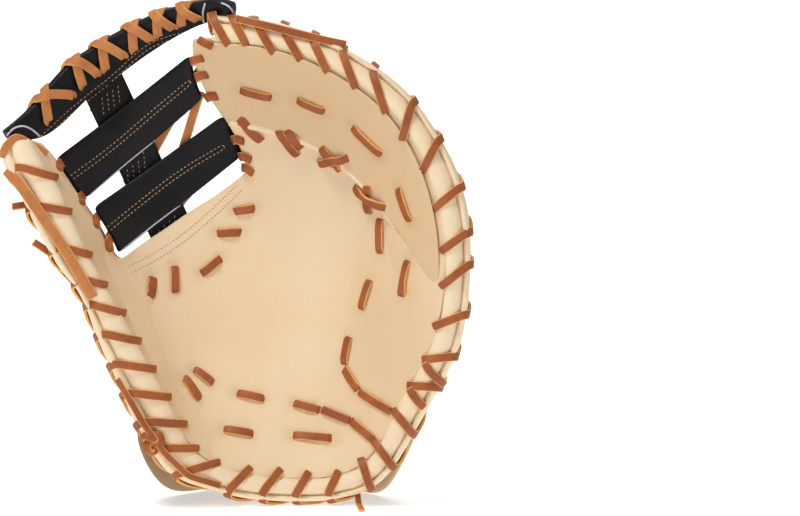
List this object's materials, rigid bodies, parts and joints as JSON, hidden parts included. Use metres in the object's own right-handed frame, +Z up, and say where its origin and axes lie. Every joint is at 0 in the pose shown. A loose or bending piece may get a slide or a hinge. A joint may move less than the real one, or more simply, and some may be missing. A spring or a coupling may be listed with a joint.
{
  "type": "first baseman mitt",
  "caption": "First baseman mitt: a deep dished palm with a laced rolled rim, a barred web under a laced top bar, and a back shell with a wrist hole over a strap.",
  "frame": {"origin": "centre of the box round the part, at the height of the surface it stands on", "axes": "+Z up from the heel to the tips, the palm faces -Y, the thumb and the web are on the -X side"},
  "size_m": [0.2872, 0.1174, 0.3067],
  "materials": {
    "cream_leather": "smooth cream leather, slightly glossy",
    "black_leather": "smooth black leather, semi-gloss",
    "lace": "oiled tan rawhide with pale cut edges",
    "lining": "matt black lining leather",
    "label": "woven black with a pale border"
  },
  "bodies": {
    "root": {"palm": "cream_leather", "finger_piece": "cream_leather", "hand_lining": "lining", "back_shell": "cream_leather", "wrist_strap": "cream_leather", "wrist_label": "label", "wrist_binding": "cream_leather", "palm_rim_roll": "cream_leather", "back_rim_roll": "cream_leather", "web_side_binding": "cream_leather", "rim_lace_thumb": "lace", "rim_lace_finger": "lace", "finger_loop_1": "lace", "finger_loop_2": "lace", "finger_loop_3": "lace", "finger_loop_4": "lace", "finger_loop_5": "lace", "finger_loop_6": "lace", "thumb_loop_1": "lace", "thumb_loop_2": "lace", "thumb_loop_3": "lace", "thumb_loop_4": "lace", "web_bar_upper": "black_leather", "web_bar_lower": "black_leather", "web_spine": "black_leather", "web_top_bar": "black_leather", "web_top_lace_under": "lace", "web_top_lace_over": "lace"}
  },
  "joints": []
}
